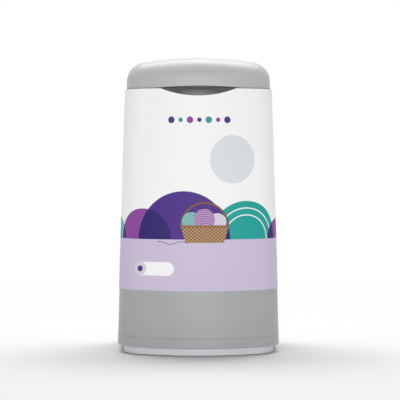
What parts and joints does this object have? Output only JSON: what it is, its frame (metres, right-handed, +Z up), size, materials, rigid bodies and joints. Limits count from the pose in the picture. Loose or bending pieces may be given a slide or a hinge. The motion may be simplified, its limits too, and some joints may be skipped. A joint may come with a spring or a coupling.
{
  "type": "litter disposal pail",
  "caption": "Tall free-standing pail for used cat litter: a domed lid over a tip-back head with a film roll and trap flaps, in a printed board sleeve.",
  "frame": {"origin": "on the floor below the middle of the pail's outline", "axes": "+Z up, the front with the finger scoop faces -Y, the hinge is at +Y, +X is to the right when facing the front"},
  "size_m": [0.3024, 0.25, 0.55],
  "materials": {
    "pail_plastic": "fine satin moulded light grey",
    "lid_plastic": "fine satin moulded pale grey",
    "plinth_plastic": "satin moulded pale grey",
    "inner_plastic": "smooth moulded off-white",
    "cradle_plastic": "smooth moulded grey",
    "flap_plastic": "smooth moulded mid grey",
    "accent_plastic": "glossy purple",
    "hub_plastic": "glossy teal",
    "sleeve_board": "coated white printed board",
    "rubber": "dark moulded rubber",
    "seal_rubber": "soft grey rubber",
    "steel": "bright zinc-plated steel",
    "film": "wound translucent film",
    "core_card": "plain brown board tube",
    "band_paper": "printed paper band"
  },
  "bodies": {
    "pail": {"plinth": "plinth_plastic", "rubber_feet": "rubber", "plinth_screws": "steel", "base_tray": "pail_plastic", "body_shell": "pail_plastic", "printed_sleeve": "sleeve_board", "hinge_pins": "steel"},
    "head": {"head_frame": "inner_plastic", "head_gasket": "seal_rubber", "hopper": "inner_plastic", "hopper_screws": "steel", "flap_pins": "steel", "pin_clips": "steel", "flap_springs": "steel", "roll_cradle": "cradle_plastic", "cradle_screws": "steel", "cutter_housing": "accent_plastic", "cutter_blade": "steel"},
    "lid": {"lid_shell": "lid_plastic", "lid_liner": "lid_plastic", "lid_gasket": "seal_rubber", "lid_screws": "steel"},
    "front_trap": {"front_flap": "flap_plastic", "front_flap_lip": "seal_rubber"},
    "rear_trap": {"rear_flap": "flap_plastic", "rear_flap_lip": "seal_rubber"},
    "roll": {"film_roll": "film", "roll_core": "core_card", "roll_band": "band_paper", "roll_hubs": "hub_plastic"},
    "bolt": {"slide_bolt": "accent_plastic"}
  },
  "joints": [
    {"name": "head_tip", "type": "hinge", "parent": "pail", "child": "head", "pos_m": [0, 0.11883, 0.489], "axis": [-1, 0, 0], "range_deg": [0, 80]},
    {"name": "lid_hinge", "type": "hinge", "parent": "head", "child": "lid", "pos_m": [0, 0.11883, 0.489], "axis": [-1, 0, 0], "range_deg": [0, 100]},
    {"name": "front_flap_hinge", "type": "hinge", "parent": "head", "child": "front_trap", "pos_m": [0, -0.0631, 0.4481], "axis": [-1, 0, 0], "range_deg": [0, 62], "stiffness_Nm_per_rad": 0.012, "springref_deg": -68.75},
    {"name": "rear_flap_hinge", "type": "hinge", "parent": "head", "child": "rear_trap", "pos_m": [0, 0.0231, 0.4481], "axis": [1, 0, 0], "range_deg": [0, 62], "stiffness_Nm_per_rad": 0.012, "springref_deg": -68.75},
    {"name": "roll_spin", "type": "hinge", "parent": "head", "child": "roll", "pos_m": [0, 0.065, 0.5], "axis": [1, 0, 0], "continuous": true},
    {"name": "bolt_slide", "type": "slide", "parent": "head", "child": "bolt", "axis": [0, -1, 0], "range_m": [0, 0.0055]}
  ]
}
